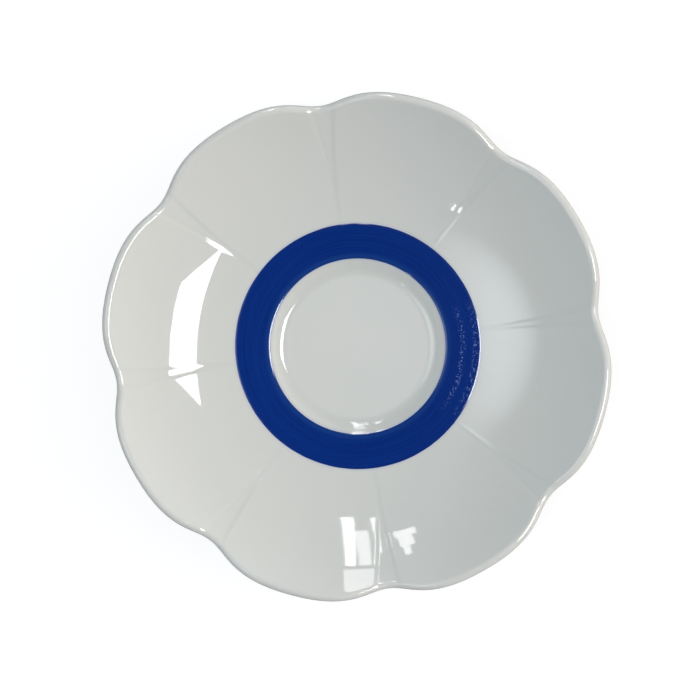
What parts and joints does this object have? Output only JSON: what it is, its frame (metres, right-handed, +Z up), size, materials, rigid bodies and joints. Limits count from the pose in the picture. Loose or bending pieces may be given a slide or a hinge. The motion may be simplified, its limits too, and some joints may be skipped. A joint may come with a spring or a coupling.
{
  "type": "saucer",
  "caption": "Round porcelain tea saucer with a scalloped rim, eight petals in low relief, a cup well inside a plain blue band, and a turned foot ring.",
  "frame": {"origin": "centre of the foot ring's resting face, on the table", "axes": "+Z up along the saucer's axis, +X through the middle of one petal"},
  "size_m": [0.155, 0.155, 0.027],
  "materials": {
    "porcelain": "bare fired porcelain, matt and slightly warm",
    "glaze": "clear glossy glaze over white porcelain",
    "blue_enamel": "brushed cobalt-blue enamel, satin with fine pinholes"
  },
  "bodies": {
    "root": {"porcelain_body": "porcelain", "petal_glaze": "glaze", "well_glaze": "glaze", "base_glaze": "glaze", "blue_band": "blue_enamel"}
  },
  "joints": []
}
